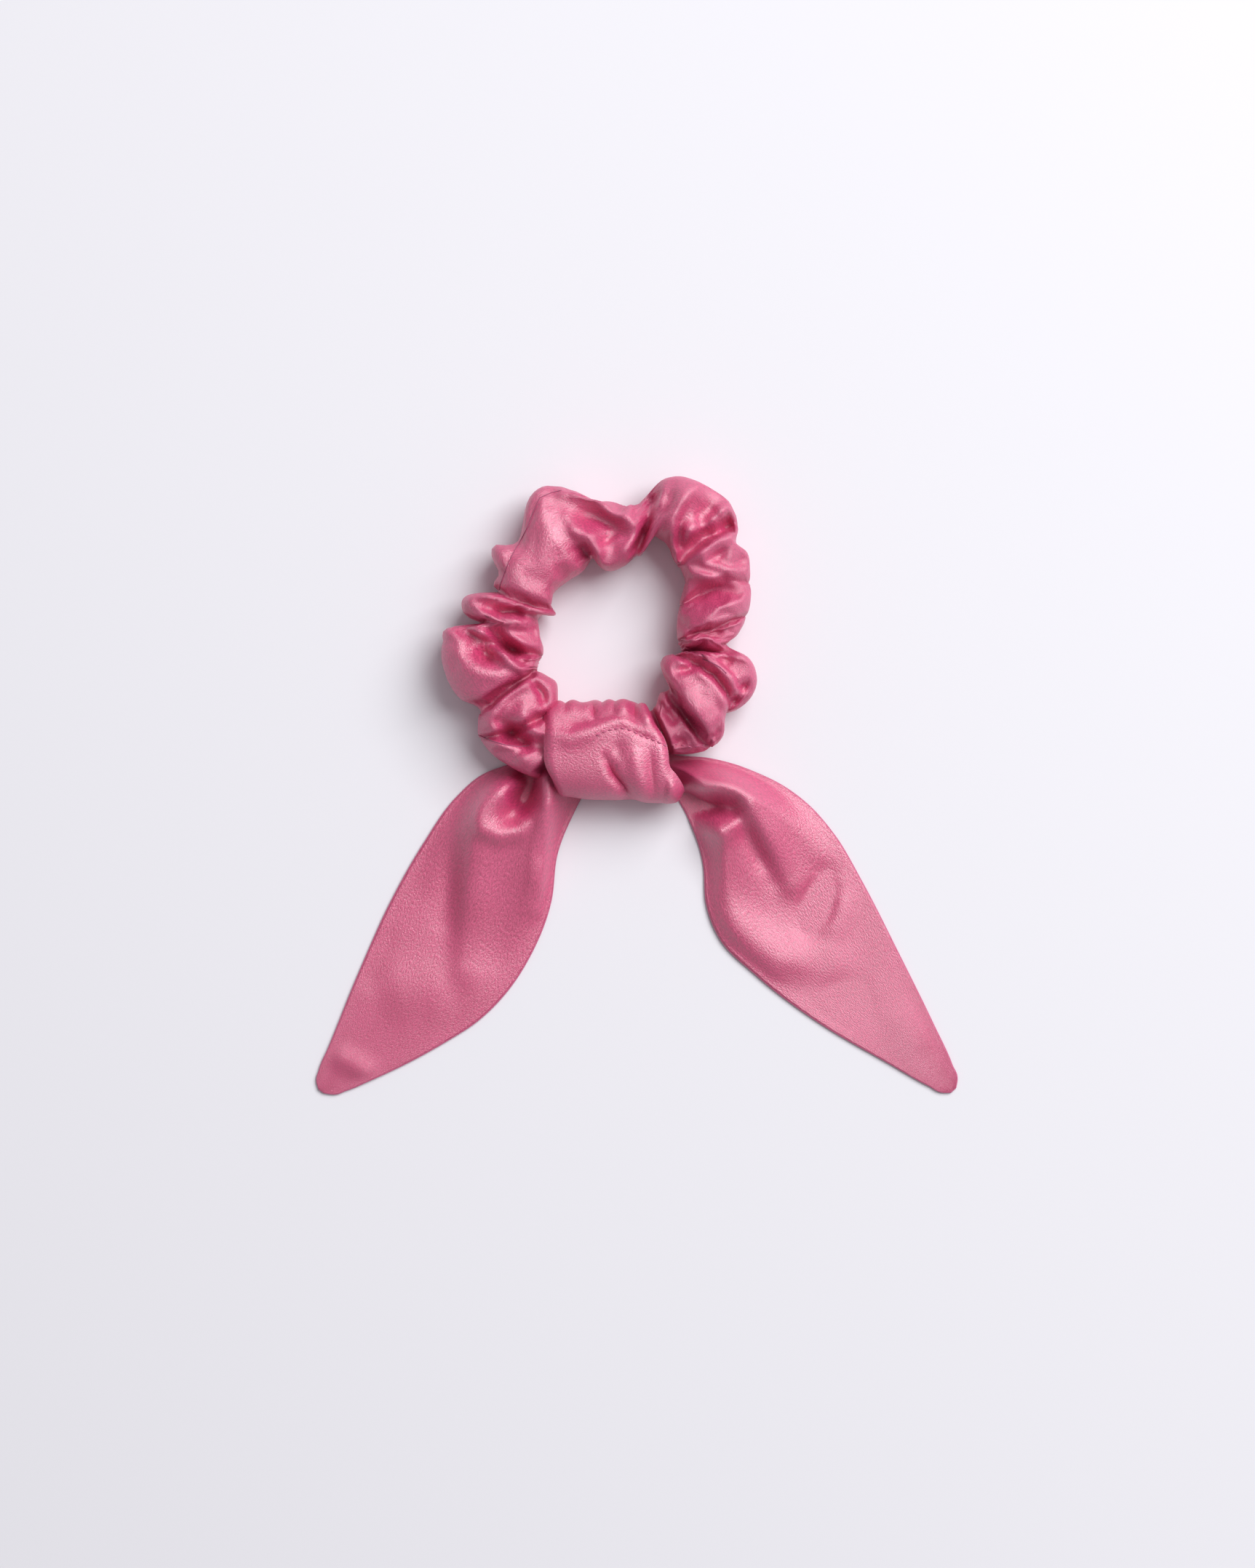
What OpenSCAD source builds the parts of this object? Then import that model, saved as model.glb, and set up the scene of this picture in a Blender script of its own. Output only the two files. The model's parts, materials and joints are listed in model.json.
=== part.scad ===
// Satin scrunchie with a knotted scarf tie, lying flat on a table.
// Origin: centre of the hair opening, on the table. +Z is up, -Y points to the tails.

/* [Ring] */
// Mean radius of the gathered ring
ring_r = 37; // [36.5:0.5:40]
// Distance from the ring's centre to its straight stretch in the knot
chord_y = 30; // [29:0.5:30]
// Radius of the casing between its creases
casing_r = 11; // [9:0.5:12]
// How far the gathers puff out from that
puff_h = 1.5; // [0.5:0.1:2]
// Number of gathers round the ring
puffs = 13; // [9:1:17]
// Height of the casing as a share of its width
casing_squash = 0.85; // [0.7:0.05:1]
// Radius of the casing where the knot cinches it
cinch_r = 6; // [5.5:0.1:6.2]
// Wall of bunched satin
casing_wall = 1.2; // [0.8:0.1:1.4]

/* [Elastic] */
// Width of the braided elastic
elastic_w = 6; // [4:0.5:7]
// Thickness of the braided elastic
elastic_t = 1.2; // [0.8:0.1:1.6]
// Length over which its two ends are lapped
lap_len = 12; // [8:1:16]

/* [Knot] */
// Middle of the knot, along X
knot_x = 1; // [0:0.5:1]
// Length of the loop behind the ring, along X
loop_len = 32; // [28:1:34]
// Length of the band over the front, along X
band_len = 38; // [34:1:38]
// Thickness of the folded band
band_t = 2.2; // [1.5:0.1:2.2]

/* [Tails] */
// Length of the left tail from its root at the knot to its point
left_tail_len = 120; // [100:1:140]
// Length of the right tail from its root at the knot to its point
right_tail_len = 127; // [100:1:140]
// Width of a tail at its widest
tail_w = 46; // [36:1:54]
// Thickness of one satin layer
layer_t = 0.5; // [0.3:0.1:0.6]
// Distance from a tail's root to the line where the tail bends up
bend_at = 22; // [20:1:26]

/* [Thread] */
// Diameter of the sewing thread
thread_d = 0.5; // [0.3:0.1:0.6]

/* [Hidden] */

satin = "#c9658b";
thread_colour = "#b04a72";
elastic_colour = "#f2efea";

casing_z = (casing_r + puff_h) * casing_squash + 0.1; // height of the casing's centreline
path_step = 5;    // degrees between the casing's rings
section_n = 16;   // sides of the casing's section
path_blend = 2;   // roundness where the arc meets the straight stretch
split_gap = 0.1;  // degrees left open where the two halves meet
cinch_half = 19.5; // half of the cinched stretch, along X
cinch_fade = 14;  // distance over which the casing swells again
crease_slant = 22; // degrees by which a crease leans round the casing
crease_twist = 40; // degrees by which the leaning starts off

loop_clear = 0.5;  // gap between the cinched casing and the loop round it
loop_t = 1.4;      // thickness of the loop behind the ring
loop_r = cinch_r + loop_clear + loop_t;
loop_open = 70;    // degrees of the loop left open towards the strand
fit_gap = 0.1;     // gap between layers of the knot
strand_y = -43.5;  // middle of the strand that crosses under the band
strand_z = 6;
strand_r = 3.6;
strand_over = 0.9; // how far the strand stands out of the band at each end
strand_len = band_len + 2 * strand_over;
throat_half = 15;  // half of a throat's width where it meets its tail
throat_gap = 1.2;  // gap between the strand's end and a throat
hinge_gap = 0.4;   // gap between a throat and its tail

left_root = [-14, -46];
right_root = [24, -44];
left_angle = -127.4;
right_angle = -48.2;
leaf_over = 28;    // how far the leaf's full outline runs back past its root
tip_round = 60;    // radius of the arc that blunts the point
tip_cut = 2;       // how much of the full outline's point that arc takes off
stitch_len = 2;
stitch_pitch = 3;

// Smaller of two values, rounded where they cross
function soft_min(a, b, k) = let(h = max(k - abs(a - b), 0) / k) min(a, b) - h * h * k / 4;
// Smooth step from 0 to 1
function ease(t) = let(c = min(max(t, 0), 1)) c * c * (3 - 2 * c);

// Centreline of the ring: a circle with a straight stretch along X in the knot
function path_r(a) = sin(a) < -0.2 ? soft_min(ring_r, chord_y / -sin(a), path_blend) : ring_r;
function path_p(a) = path_r(a) * [cos(a), sin(a)];
function path_out(a) = let(d = path_p(a + 0.5) - path_p(a - 0.5)) [d[1], -d[0]] / norm(d);

// 0 in the knot, 1 where the casing is full
function fullness(a) =
    sin(a) > 0 ? 1 : ease((abs(path_p(a)[0] - knot_x) - cinch_half) / cinch_fade);
// Gathers: round tops with sharp creases between them, leaning round the tube
function gather(a, f) = abs(sin(puffs * a / 2 + crease_slant * sin(f + crease_twist)));
function casing_rad(a, f) = let(w = fullness(a))
    cinch_r * (1 - w) + (casing_r + puff_h * (2 * gather(a, f) - 1)) * w;

// Point on the casing, d deeper than its surface, at angle a round the ring and f round the tube
function casing_p(a, f, d) = let(
    r = casing_rad(a, f) - d,
    squash = 1 - (1 - casing_squash) * fullness(a),
    out = path_out(a) * r * cos(f))
    [path_p(a)[0] + out[0], path_p(a)[1] + out[1], casing_z + r * squash * sin(f)];

// Closed sweep of rings: a list of rings that all have the same number of points
function sweep_faces(rings, n) = concat(
    [for (i = [0 : rings - 2], j = [0 : n - 1])
        let(a = i * n + j, b = i * n + (j + 1) % n) [a, b, b + n, a + n]],
    [[for (j = [n - 1 : -1 : 0]) j]],
    [[for (j = [0 : n - 1]) (rings - 1) * n + j]]);

// Half of the casing: an outer skin, an inner skin and a rim at each end
module casing_half(from, to) {
    n = section_n;
    rings = round((to - from) / path_step) + 1;
    angles = [for (i = [0 : rings - 1]) from + (to - from) * i / (rings - 1)];
    skin = rings * n;
    points = [for (d = [0, casing_wall], a = angles, j = [0 : n - 1]) casing_p(a, 360 * j / n, d)];
    outer = [for (i = [0 : rings - 2], j = [0 : n - 1])
        let(p = i * n + j, q = i * n + (j + 1) % n) [p, p + n, q + n, q]];
    inner = [for (i = [0 : rings - 2], j = [0 : n - 1])
        let(p = skin + i * n + j, q = skin + i * n + (j + 1) % n) [p, q, q + n, p + n]];
    start = [for (j = [0 : n - 1]) let(k = (j + 1) % n) [j, k, k + skin, j + skin]];
    last = (rings - 1) * n;
    end = [for (j = [0 : n - 1])
        let(k = (j + 1) % n) [last + j, last + j + skin, last + k + skin, last + k]];
    polyhedron(points, concat(outer, inner, start, end));
}

// Seam thread that runs along the inside of the casing, at angle f round the tube
module seam_thread(from, to, f) {
    n = 6;
    rings = round((to - from) / path_step) + 1;
    points = [for (i = [0 : rings - 1])
        let(a = from + (to - from) * i / (rings - 1),
            p = casing_p(a, f, casing_wall),
            out = path_out(a))
        each [for (j = [0 : n - 1])
            p + thread_d / 2 * [out[0] * cos(60 * j), out[1] * cos(60 * j), -sin(60 * j)]]];
    polyhedron(points, sweep_faces(rings, n));
}

module casing_left() {
    color(satin) casing_half(90, 270);
}

module casing_right() {
    color(satin) casing_half(-90 + split_gap, 90 - split_gap);
}

module casing_left_seam_thread() {
    color(thread_colour) seam_thread(91, 269, 20);
}

module casing_right_seam_thread() {
    color(thread_colour) seam_thread(-89, 89, 20);
}

// One straight stitch along X, sunk to half its thickness
module stitch(length) {
    rotate([0, 90, 0]) cylinder(h = length, d = thread_d, center = true, $fn = 16);
}

// Row of stitches round the casing where its two ends are lapped and closed
module casing_closing_stitches() {
    join_a = -46;
    color(thread_colour)
        for (f = [-60 : 20 : 120])
            translate(casing_p(join_a, f, 0))
                rotate([0, 0, join_a])
                    rotate([0, -f - 90, 0])
                        stitch(stitch_len);
}

// Outline of the elastic seen from above, at distance d outside its centreline
module elastic_outline(d) {
    polygon([for (a = [0 : path_step : 359]) path_p(a) + path_out(a) * d]);
}

// Braided elastic on edge: one loop, with its two ends lapped
module elastic_band() {
    lap_half = lap_len / ring_r * 180 / PI / 2;
    lap_mid = 160;
    color(elastic_colour)
        translate([0, 0, casing_z - elastic_w / 2]) {
            linear_extrude(elastic_w)
                difference() {
                    elastic_outline(elastic_t / 2);
                    elastic_outline(-elastic_t / 2);
                }
            rotate([0, 0, lap_mid - lap_half])
                rotate_extrude(angle = 2 * lap_half, $fn = 96)
                    translate([ring_r + elastic_t / 2 - 0.1, 0])
                        square([elastic_t, elastic_w]);
        }
}

// Zigzag thread that holds the lapped ends of the elastic together
module elastic_bartack() {
    rows = 6;
    color(thread_colour)
        for (i = [0 : rows - 1])
            rotate([0, 0, 160 + (i - (rows - 1) / 2) * 3])
                translate([ring_r + 1.5 * elastic_t, 0, casing_z])
                    rotate([i % 2 == 0 ? 20 : -20, 0, 0])
                        cylinder(h = elastic_w - 1, d = thread_d, center = true, $fn = 16);
}

// Round tube or open C along X, about the casing's centreline in the knot
module sleeve(r_in, r_out, length) {
    translate([knot_x, -chord_y, casing_z])
        rotate([0, 90, 0])
            translate([0, 0, -length / 2])
                difference() {
                    cylinder(h = length, r = r_out, $fn = 64);
                    translate([0, 0, -1]) cylinder(h = length + 2, r = r_in, $fn = 64);
                }
}

// Scarf behind the ring: it lies round the cinched casing and is open towards the strand
module knot_back_loop() {
    color(satin)
        difference() {
            sleeve(cinch_r + loop_clear, loop_r, loop_len);
            translate([knot_x - loop_len, -chord_y, casing_z])
                rotate([90 - loop_open / 2, 0, 0])
                    rotate([0, 90, 0])
                        linear_extrude(2 * loop_len)
                            polygon([[0, 0], 20 * [-1, 0], 20 * [-cos(loop_open), -sin(loop_open)]]);
        }
}

// Section of the band, at distance d outside the loop and the strand that it holds
module band_section(d) {
    hull() {
        translate([-chord_y, casing_z]) circle(loop_r + fit_gap + d, $fn = 32);
        translate([strand_y, strand_z]) circle(strand_r + fit_gap + d, $fn = 32);
    }
}

// Scarf over the front of the knot: a wide band round the loop and the crossing strand
module knot_front_band() {
    color(satin)
        translate([knot_x - band_len / 2, 0, 0])
            rotate([90, 0, 90])
                linear_extrude(band_len)
                    difference() {
                        band_section(band_t);
                        band_section(0);
                    }
}

// Scarf that crosses under the band, from one tail to the other
module knot_cross_strand() {
    color(satin)
        translate([knot_x - strand_len / 2, strand_y, strand_z])
            rotate([0, 90, 0])
                cylinder(h = strand_len, r = strand_r, $fn = 48);
}

// Topstitching that closes the opening through which the scarf was turned out
module knot_closing_stitches() {
    count = 11;
    color(thread_colour)
        for (i = [0 : count - 1])
            translate([knot_x + (i - (count - 1) / 2) * stitch_pitch, -chord_y,
                       casing_z + loop_r + fit_gap + band_t])
                stitch(stitch_len);
}

// Places a tail's own frame: +X along the tail from its root, z = 0 on the table
module at_tail(root, angle) {
    translate([root[0], root[1], 0]) rotate([0, 0, angle]) children();
}

// Leaf outline: two equal arcs that meet at the point, which a third arc blunts
module leaf_outline(length, grow) {
    half = (length + tip_cut + leaf_over) / 2;
    arc_r = (half * half + tail_w * tail_w / 4) / tail_w;
    mid = half - leaf_over;
    intersection() {
        translate([mid, arc_r - tail_w / 2]) circle(arc_r + grow, $fn = 180);
        translate([mid, tail_w / 2 - arc_r]) circle(arc_r + grow, $fn = 180);
        translate([length - tip_round, 0]) circle(tip_round + grow, $fn = 90);
        translate([bend_at + hinge_gap, -tail_w]) square([length, 2 * tail_w]);
    }
}

// One satin layer of a tail, from height z
module tail_layer(length, z) {
    color(satin) translate([0, 0, z]) linear_extrude(layer_t) leaf_outline(length, 0);
}

// Seam thread round the edge of a tail, between its two layers
module tail_edge_thread(length) {
    color(thread_colour)
        translate([0, 0, layer_t - thread_d / 2])
            linear_extrude(thread_d)
                difference() {
                    leaf_outline(length, thread_d / 2);
                    leaf_outline(length, 0);
                }
}

// Pleated throat: it opens from the end of the crossing strand, on the side given, to the leaf
module tail_throat(root, angle, side) {
    color(satin)
        hull() {
            translate([knot_x + side * (strand_len / 2 + throat_gap), strand_y, strand_z])
                rotate([0, side * 90, 0])
                    cylinder(h = 1, r = strand_r - fit_gap, $fn = 24);
            at_tail(root, angle)
                translate([bend_at - 1, -throat_half, 0])
                    cube([1, 2 * throat_half, 2 * layer_t]);
        }
}

module left_tail_throat() {
    tail_throat(left_root, left_angle, -1);
}

module right_tail_throat() {
    tail_throat(right_root, right_angle, 1);
}

module left_tail_face() {
    at_tail(left_root, left_angle) tail_layer(left_tail_len, layer_t);
}

module left_tail_back() {
    at_tail(left_root, left_angle) tail_layer(left_tail_len, 0);
}

module left_tail_edge_thread() {
    at_tail(left_root, left_angle) tail_edge_thread(left_tail_len);
}

module right_tail_face() {
    at_tail(right_root, right_angle) tail_layer(right_tail_len, layer_t);
}

module right_tail_back() {
    at_tail(right_root, right_angle) tail_layer(right_tail_len, 0);
}

module right_tail_edge_thread() {
    at_tail(right_root, right_angle) tail_edge_thread(right_tail_len);
}

casing_left();
casing_right();
casing_left_seam_thread();
casing_right_seam_thread();
casing_closing_stitches();
elastic_band();
elastic_bartack();
knot_back_loop();
knot_front_band();
knot_cross_strand();
knot_closing_stitches();
left_tail_throat();
left_tail_face();
left_tail_back();
left_tail_edge_thread();
right_tail_throat();
right_tail_face();
right_tail_back();
right_tail_edge_thread();
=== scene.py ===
import bpy, bmesh, json, math
import numpy as np
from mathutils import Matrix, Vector
from mathutils.bvhtree import BVHTree


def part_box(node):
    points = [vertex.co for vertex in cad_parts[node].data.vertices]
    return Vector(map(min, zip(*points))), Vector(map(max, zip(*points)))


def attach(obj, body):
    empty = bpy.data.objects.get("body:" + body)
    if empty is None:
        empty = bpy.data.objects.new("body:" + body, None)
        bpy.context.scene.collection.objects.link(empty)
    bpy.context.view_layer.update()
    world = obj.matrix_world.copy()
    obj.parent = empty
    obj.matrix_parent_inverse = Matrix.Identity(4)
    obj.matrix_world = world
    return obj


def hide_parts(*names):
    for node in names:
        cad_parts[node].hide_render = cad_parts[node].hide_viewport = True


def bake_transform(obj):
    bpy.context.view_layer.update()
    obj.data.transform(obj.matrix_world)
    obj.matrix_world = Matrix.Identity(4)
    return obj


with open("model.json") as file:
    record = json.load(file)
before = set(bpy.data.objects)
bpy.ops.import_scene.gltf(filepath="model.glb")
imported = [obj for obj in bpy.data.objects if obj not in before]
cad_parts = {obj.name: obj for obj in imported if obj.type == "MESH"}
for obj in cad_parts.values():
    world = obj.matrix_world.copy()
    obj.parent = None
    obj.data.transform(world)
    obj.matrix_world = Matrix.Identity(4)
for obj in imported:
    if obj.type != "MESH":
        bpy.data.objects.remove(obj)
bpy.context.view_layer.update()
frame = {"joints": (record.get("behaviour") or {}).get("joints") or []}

MM = 0.001

# ---------------------------------------------------------------- sizes from the frame
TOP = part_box("casing_left")[1].z / MM     # height of the casing, in mm
SCARF_WIDE = 0.046                        # width of the scarf that is knotted round the ring


# ---------------------------------------------------------------- helpers
def linear(hex_colour):
    """sRGB hex to linear RGBA."""
    parts = [int(hex_colour[i:i + 2], 16) / 255 for i in (1, 3, 5)]
    return [c / 12.92 if c <= 0.04045 else ((c + 0.055) / 1.055) ** 2.4 for c in parts] + [1.0]


def smooth(t):
    t = np.clip(t, 0, 1)
    return t * t * (3 - 2 * t)


def cloth_grid(name, across, along, place, flat):
    """Grid of cells bent to the points that place(u, v) gives; its UV map is the flat cloth in metres."""
    bm = bmesh.new()
    uv = bm.loops.layers.uv.new("cloth")
    bmesh.ops.create_grid(bm, x_segments=along, y_segments=across, size=0.5, calc_uvs=True)
    for face in bm.faces:
        for loop in face.loops:
            loop[uv].uv = ((loop.vert.co.x + 0.5) * flat[1], (loop.vert.co.y + 0.5) * flat[0])
    uvs = np.array([(v.co.x + 0.5, v.co.y + 0.5) for v in bm.verts])
    layer = bm.verts.layers.float.new("along")
    for vert, place_along in zip(bm.verts, uvs[:, 0]):
        vert[layer] = place_along
    for vert, co in zip(bm.verts, place(uvs[:, 0], uvs[:, 1])):
        vert.co = co
    bmesh.ops.remove_doubles(bm, verts=bm.verts, dist=1e-7)
    mesh = bpy.data.meshes.new(name)
    bm.to_mesh(mesh)
    bm.free()
    mesh.polygons.foreach_set("use_smooth", [True] * len(mesh.polygons))
    obj = bpy.data.objects.new(name, mesh)
    bpy.context.scene.collection.objects.link(obj)
    return obj


# ---------------------------------------------------------------- casing
# Creases between the gathers, counter-clockwise from the knot: the angle round the ring of
# each on the outside, on top and on the inside, and how deep it is.
CREASES = [
    (-90, -90, -90, 0.0),
    (-62, -60, -58, 1.0),
    (-47, -46, -36, 0.8),
    (-33, -20, -16, 0.9),
    (-4.5, -9, -13, 1.0),
    (8, 3, -5, 0.6),
    (20, 24, 22, 0.45),
    (41, 42.5, 44.5, 0.8),
    (74, 70, 70, 1.0),
    (109, 110, 105, 0.4),
    (158, 159, 155, 1.0),
    (173, 184, 198, 1.0),
    (212, 210, 206, 0.9),
    (219, 229, 238, 0.8),
    (246, 246, 246, 1.0),
    (270, 270, 270, 0.0),
]
# Height of each gather between them, as a share of the casing's own
GATHERS = [0.72, 0.78, 1.0, 0.92, 0.88, 0.94, 0.98, 1.02, 0.96, 1.0, 0.96, 1.0, 0.94, 0.86, 0.72]

# The outline: angle round the ring and distance from its centre in mm, outside and inside
OUTER = [
    (-90, 37.5), (-72, 38.2), (-66, 39.4), (-60, 41.6), (-53, 44.5), (-47, 46.6), (-40, 46.4),
    (-34, 43.4), (-29, 46),
    (-21.5, 48), (-15, 47.2), (-9, 43.6), (-4, 36.8), (0, 39.4), (7, 42.6), (13, 44.8), (21, 46.8),
    (30, 49.8), (37, 49.8), (41, 53.2), (46, 54.6), (54, 54.2), (60, 53.8), (67, 51.8), (72, 47.6),
    (75, 42.8), (80, 41.2), (90, 41.4), (97, 42.6), (104, 45.8), (112, 48.8), (118, 48), (122, 45.6),
    (127, 41.6), (132, 38.8), (136, 39.8), (140, 43.2), (144, 42.2), (148, 38.4), (155, 37.4),
    (159, 35.8), (163, 42.8), (169, 44.4), (172.5, 42), (174.5, 38.6), (177, 46.6), (183, 49.4),
    (194, 49.8), (203, 48), (210, 44.6), (213, 46), (217, 48.8), (224, 49.8), (234, 49.2),
    (246, 47.6), (252, 46), (258, 42), (264, 38.5), (270, 37.5),
]
INNER = [
    (-90, 26), (-66, 27), (-55, 26.6), (-47, 24.6), (-39, 25), (-34, 21.2), (-25, 18.8), (-18, 20.4),
    (-13.5, 24), (-6, 22.5), (8, 22.6), (24, 25.2), (35, 29.6), (41, 30.8), (47, 31), (54, 33.4),
    (60, 34.2), (64, 33), (66.5, 27.4), (69, 26.4), (73, 24.2), (80, 21.6), (88, 20.6), (95, 21.6),
    (101, 24.4), (105, 22.4), (112, 21), (122, 20.8), (139, 20.6), (150, 19), (161, 18), (165, 21.6),
    (171, 21.8), (180, 21), (190, 20), (198, 20.8), (206, 24), (212, 22.8), (225, 21.6), (232, 24.4),
    (238, 28.5), (252, 27), (270, 26),
]


# Folds on the gathers, seen from above: a ridge where the height is above 0 and a hollow below
# it. Each runs through points (x, y); its height and its half width are in mm.
FOLDS = [
    # top-left gather, with the seam along its outside
    ([(-14.5, 42), (-13, 36.5), (-11.3, 32.1), (-8.3, 27.7), (-5.6, 23)], 1.3, 1.6),
    ([(-16.4, 43.6), (-20.1, 41.9), (-21.5, 38.5), (-23.8, 32.5), (-27.2, 26.4), (-32.4, 15)], -0.7, 0.9),
    ([(-15, 17), (-11, 20)], -1.2, 2.4),
    # the gather after it
    ([(-11.5, 39.5), (-5.5, 37), (1.5, 34), (6.5, 30.5)], -3.6, 2.1),
    ([(-12.3, 43.3), (-6.9, 42.6), (-1.5, 39.9), (3.9, 36.8), (8.3, 34.1), (11.3, 35.2)], 2.8, 1.5),
    ([(-0.2, 40.8), (6.6, 36.9)], -1.2, 1.2),
    ([(-9.6, 31.4), (-5.6, 29.1), (-2.9, 24.4), (-0.9, 21.7)], 2.2, 1.6),
    ([(-7.9, 29), (-4.9, 23)], -4.4, 1.2),
    ([(-0.9, 30.4), (1.2, 28.1)], -2.2, 1.6),
    ([(3.9, 23), (7.9, 27.7), (10.6, 33.1)], 1.4, 1.8),
    ([(12.7, 34), (10.8, 29.1), (8, 24.7)], -4.0, 1.0),
    # top-right gather
    ([(14, 43), (14.2, 39.7)], -2.2, 1.1),
    ([(12.9, 36.9), (16.2, 38.6), (17, 43.6)], 0.9, 1.0),
    ([(19.5, 44.1), (18.4, 38.6), (15.1, 34.7)], -1.6, 1.2),
    ([(29.5, 46), (25, 42), (22, 38), (20.2, 34), (20, 29), (20.8, 24.6)], 2.0, (1.2, 2.2)),
    ([(34.5, 38.6), (30, 35.8), (26, 34.6)], -2.8, 2.6),
    ([(22.8, 33), (22.8, 28), (23.2, 24.4)], -2.6, 1.1),
    ([(22.9, 30.4), (25.8, 31), (28.2, 29.6)], 1.3, 1.6),
    ([(22.6, 23.6), (26, 26.6), (30.5, 30), (35, 32.6)], -4.0, (1.5, 0.9)),
    ([(30.7, 29.1), (32.9, 34.7), (36.8, 38), (40.1, 36.9), (40.3, 33.8)], 1.8, 1.4),
    ([(35.7, 31.9), (39, 35.2)], -3.8, 1.3),
    ([(41.2, 33), (37.9, 30.8), (31.8, 27.5), (27.3, 24.1), (23.4, 21.3)], 2.6, (2.4, 0.9)),
    # down the right
    ([(33, 25), (35.5, 22.4)], -1.2, 2.2),
    ([(38.7, 29), (38.4, 24.4), (37, 20.6)], 1.1, 1.5),
    ([(28.8, 24.6), (31, 21.4), (35.4, 19.2), (42, 18.6)], 1.0, 1.5),
    ([(40.7, 24.7), (41.2, 20.2)], -1.3, 1.4),
    ([(24.5, 19.7), (30.1, 16.9), (35.7, 15.8), (44.2, 16.9)], 1.9, 1.1),
    ([(41.8, 15.2), (34.5, 14.1), (29, 11.9), (23.8, 8.5)], -3.2, 1.8),
    ([(43.4, 13), (40.1, 10.2), (34.5, 7.4), (29, 3.2), (25, 0.5)], 1.8, 1.4),
    ([(39.5, 5.4), (34.3, 3.2), (29.5, 1.2)], 1.0, 1.0),
    ([(36.2, 1.8), (32.4, 0.2), (28.1, -0.6)], -2.0, 1.0),
    ([(22.8, -0.6), (25.7, -1.8), (30.5, -2.5), (35.2, -3)], 2.2, 1.1),
    ([(23.8, -5.6), (28.1, -5.1), (31.8, -4.9)], -5.0, 1.0),
    ([(31.4, -3.4), (37.6, -3.9), (42.4, -6.8), (45, -11.1)], 1.2, 1.2),
    ([(34.6, -6.3), (38.1, -9.7)], -1.8, 1.6),
    ([(40, -15.4), (43.2, -16.3)], -2.4, 1.1),
    ([(38.4, -21), (40.6, -18.6)], -3.4, 1.0),
    # the overlapping gather at the right of the knot
    ([(17.4, -8.2), (20.9, -6.8), (25.7, -6.5), (29, -7.3), (32.8, -9.6), (37.1, -13.2), (39.2, -17.3),
      (36.6, -21.6), (31.9, -29.7)], 1.9, (0.9, 2.8)),
    ([(23.5, -13.5), (28.5, -19), (32, -24.5)], 1.2, 3.6),
    ([(21.9, -11.1), (25.7, -10.3), (28.1, -8.9)], -2.6, 0.9),
    ([(20.4, -12.6), (21.8, -17.6), (25.6, -22.4), (31.2, -28.4)], 1.3, (2.4, 1.1)),
    ([(18.6, -17), (21.4, -21.8), (25.2, -26), (29.6, -30.6)], -3.0, 1.0),
    ([(17.2, -15.4), (18.4, -20.4), (21.2, -25), (24.4, -29)], 1.2, 1.0),
    ([(18.2, -22), (20.4, -25.2), (22.6, -27.2)], -3.0, 1.2),
    ([(24.5, -31.8), (21, -33.4)], -1.6, 1.0),
    ([(34.2, -27.4), (31.6, -32.6)], -2.0, 1.0),
    # upper gather on the left
    ([(-42.6, 9.5), (-39.2, 12), (-33, 12.4), (-28.9, 11.1), (-24.3, 8), (-19.1, 6.9)], 2.2, 1.3),
    ([(-35.1, 7.8), (-31.5, 6.9), (-27.3, 7.2), (-23.2, 6.2)], -5.0, 1.3),
    ([(-40.3, 9.3), (-37.2, 5.9), (-32.5, 4.4), (-26.3, 3.9), (-21.7, 4.9)], 1.8, 1.4),
    ([(-20.6, 3.9), (-22.2, 1.8), (-21.7, -0.3)], -1.8, 0.8),
    ([(-38.7, 4.6), (-33.5, 1), (-28.9, -1.6), (-24.2, -4.7), (-21.2, -6.8)], 1.2, 1.1),
    ([(-36.8, 3.2), (-33.2, 0), (-29.2, -3.5), (-25, -7)], -5.0, 1.2),
    # the large gather below it
    ([(-47.5, 0.7), (-41.8, 1.2), (-37.2, -0.9), (-33.5, -4), (-29.9, -7.6), (-25.8, -9.7),
      (-22.2, -9.7)], 2.4, 1.2),
    ([(-39.4, -3.6), (-36.6, -5.1), (-33, -8)], -6.0, 1.7),
    ([(-44.4, -6), (-41.8, -10.3), (-36.6, -11.8), (-26.3, -11.3)], 1.4, 2.4),
    ([(-39.7, -23), (-35.1, -20.4), (-30.4, -16.3), (-26.3, -13.3), (-23.2, -12.3)], -2.8, 0.9),
    # left of the knot
    ([(-37.2, -25.8), (-31.5, -20.2), (-25.3, -15.6), (-21.7, -13.8), (-16.6, -16.6)], 1.2, 1.4),
    ([(-22.2, -14.6), (-19.4, -18.2), (-18.7, -21.6)], -2.4, 0.8),
    ([(-31.5, -22.5), (-34.1, -26.6), (-32.7, -30.6)], 1.4, 1.6),
    ([(-31.3, -27.1), (-28.7, -30.2), (-24.8, -32.3), (-21.2, -32.6)], -5.4, 1.6),
    ([(-23.4, -17.8), (-25.3, -24.4), (-22.7, -29.5), (-19.3, -29.5), (-19, -26)], 1.6, 1.7),
    ([(-38.3, -30.8), (-35.1, -32.3), (-30.4, -33.7), (-25, -34.1)], 1.0, 0.8),
    ([(-27.3, -36.2), (-22.7, -39)], 1.2, 1.8),
    ([(-19.4, -34)] * 2, -2.4, 1.4),
    ([(-21.7, -41.3), (-18.3, -39.6)], -1.8, 0.8),
]


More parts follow.
